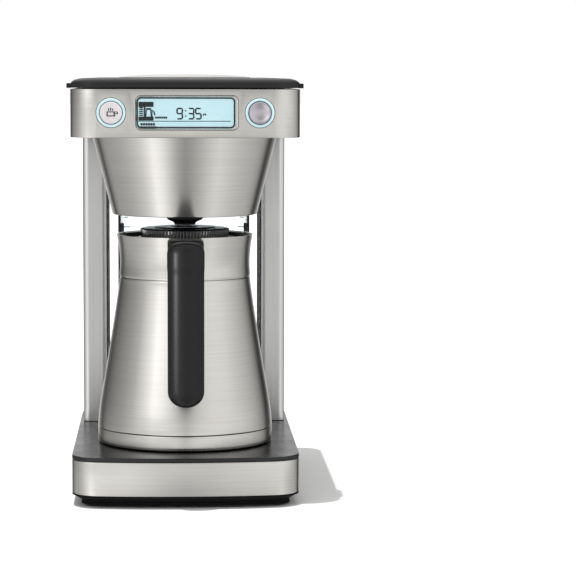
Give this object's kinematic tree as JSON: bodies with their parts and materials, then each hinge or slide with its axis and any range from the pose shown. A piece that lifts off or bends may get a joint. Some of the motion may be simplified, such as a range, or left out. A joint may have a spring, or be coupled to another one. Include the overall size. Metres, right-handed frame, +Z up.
{
  "type": "drip coffee maker",
  "caption": "Programmable drip coffee maker: steel head and funnel over a thermal jug, clear water tank between two rear columns, display with push button and dial.",
  "frame": {"origin": "on the floor under the centre of the machine's bounding box", "axes": "+Z up, -Y to the front where the jug's grip points, +X to the user's right when facing the front"},
  "size_m": [0.2224, 0.367, 0.4074],
  "materials": {
    "brushed_steel": "fine horizontal brushing",
    "black_plastic": "fine spark-eroded texture",
    "black_rubber": "matte",
    "silicone": "smooth translucent",
    "plain_steel": "bright drawn steel",
    "soft_grip": "soft-touch matte",
    "clear_plastic": "clear",
    "light_ring": "frosted, backlit",
    "display_glass": "clear over a pale backlight",
    "display_panel": "backlit panel",
    "satin_metal": "satin",
    "satin_silver": "satin",
    "cast_aluminium": "as cast",
    "circuit_board": "lacquered"
  },
  "bodies": {
    "machine": {"base_band": "brushed_steel", "column_left": "brushed_steel", "column_right": "brushed_steel", "head_shell": "brushed_steel", "funnel_shell": "brushed_steel", "base_pan": "black_plastic", "base_plate": "black_plastic", "tank_valve": "black_plastic", "shower_head": "black_plastic", "head_floor": "black_plastic", "head_deck": "black_plastic", "fill_chute": "black_plastic", "brew_basket": "black_plastic", "drip_stop_housing": "black_plastic", "foot_front_left": "black_rubber", "foot_front_right": "black_rubber", "foot_rear_left": "black_rubber", "foot_rear_right": "black_rubber", "cord_gland": "black_rubber", "wiring_loom": "black_rubber", "tank_seal": "silicone", "supply_hose": "silicone", "riser_pipe": "silicone", "base_screw_front_left": "plain_steel", "base_screw_front_right": "plain_steel", "base_screw_rear_left": "plain_steel", "base_screw_rear_right": "plain_steel", "fill_lid_hinge": "plain_steel", "drip_stop_spring": "plain_steel", "water_tank": "clear_plastic", "button_ring": "light_ring", "dial_ring": "light_ring", "display_lens": "display_glass", "display_screen": "display_panel", "display_bezel": "satin_metal", "heater": "cast_aluminium", "power_board": "circuit_board", "control_board": "circuit_board"},
    "button": {"brew_button": "satin_silver"},
    "dial": {"dial_knob": "satin_silver", "dial_shaft": "plain_steel"},
    "brew_lid_assembly": {"brew_lid": "black_plastic", "lid_crown": "brushed_steel", "lid_tab_left": "black_rubber", "lid_tab_right": "black_rubber", "brew_lid_pin": "plain_steel"},
    "fill_lid_assembly": {"fill_lid": "black_plastic", "fill_lid_pin": "plain_steel"},
    "jug": {"jug_body": "brushed_steel", "jug_collar": "brushed_steel", "jug_base_ring": "brushed_steel", "jug_foot": "black_plastic", "jug_liner": "brushed_steel", "neck_insert": "black_plastic", "jug_grip": "soft_grip", "grip_bracket": "black_plastic"},
    "jug_lid_assembly": {"jug_lid": "black_plastic", "jug_lid_seal": "silicone"},
    "drip_plunger": {"drip_stop_plunger": "silicone"}
  },
  "joints": [
    {"name": "brew_button_press", "type": "slide", "parent": "machine", "child": "button", "axis": [0, 1, 0], "range_m": [0, 0.0022], "stiffness_N_per_m": 700, "springref_m": -0.001},
    {"name": "dial_turn", "type": "hinge", "parent": "machine", "child": "dial", "pos_m": [0.069, -0.168, 0.372], "axis": [0, 1, 0], "continuous": true},
    {"name": "brew_lid_open", "type": "hinge", "parent": "machine", "child": "brew_lid_assembly", "pos_m": [0, 0.062, 0.3992], "axis": [-1, 0, 0], "range_deg": [0, 95]},
    {"name": "fill_lid_open", "type": "hinge", "parent": "machine", "child": "fill_lid_assembly", "pos_m": [0, 0.177, 0.396], "axis": [-1, 0, 0], "range_deg": [0, 100]},
    {"name": "jug_slide_out", "type": "slide", "parent": "machine", "child": "jug", "axis": [0, -1, 0], "range_m": [0, 0.22]},
    {"name": "jug_lid_twist", "type": "hinge", "parent": "jug", "child": "jug_lid_assembly", "pos_m": [0, -0.048, 0.25], "axis": [0, 0, 1], "range_deg": [0, 90]},
    {"name": "drip_stop_lift", "type": "slide", "parent": "machine", "child": "drip_plunger", "axis": [0, 0, 1], "range_m": [0, 0.003], "stiffness_N_per_m": 300, "springref_m": -0.003, "deforming": ["drip_stop_spring"]}
  ]
}
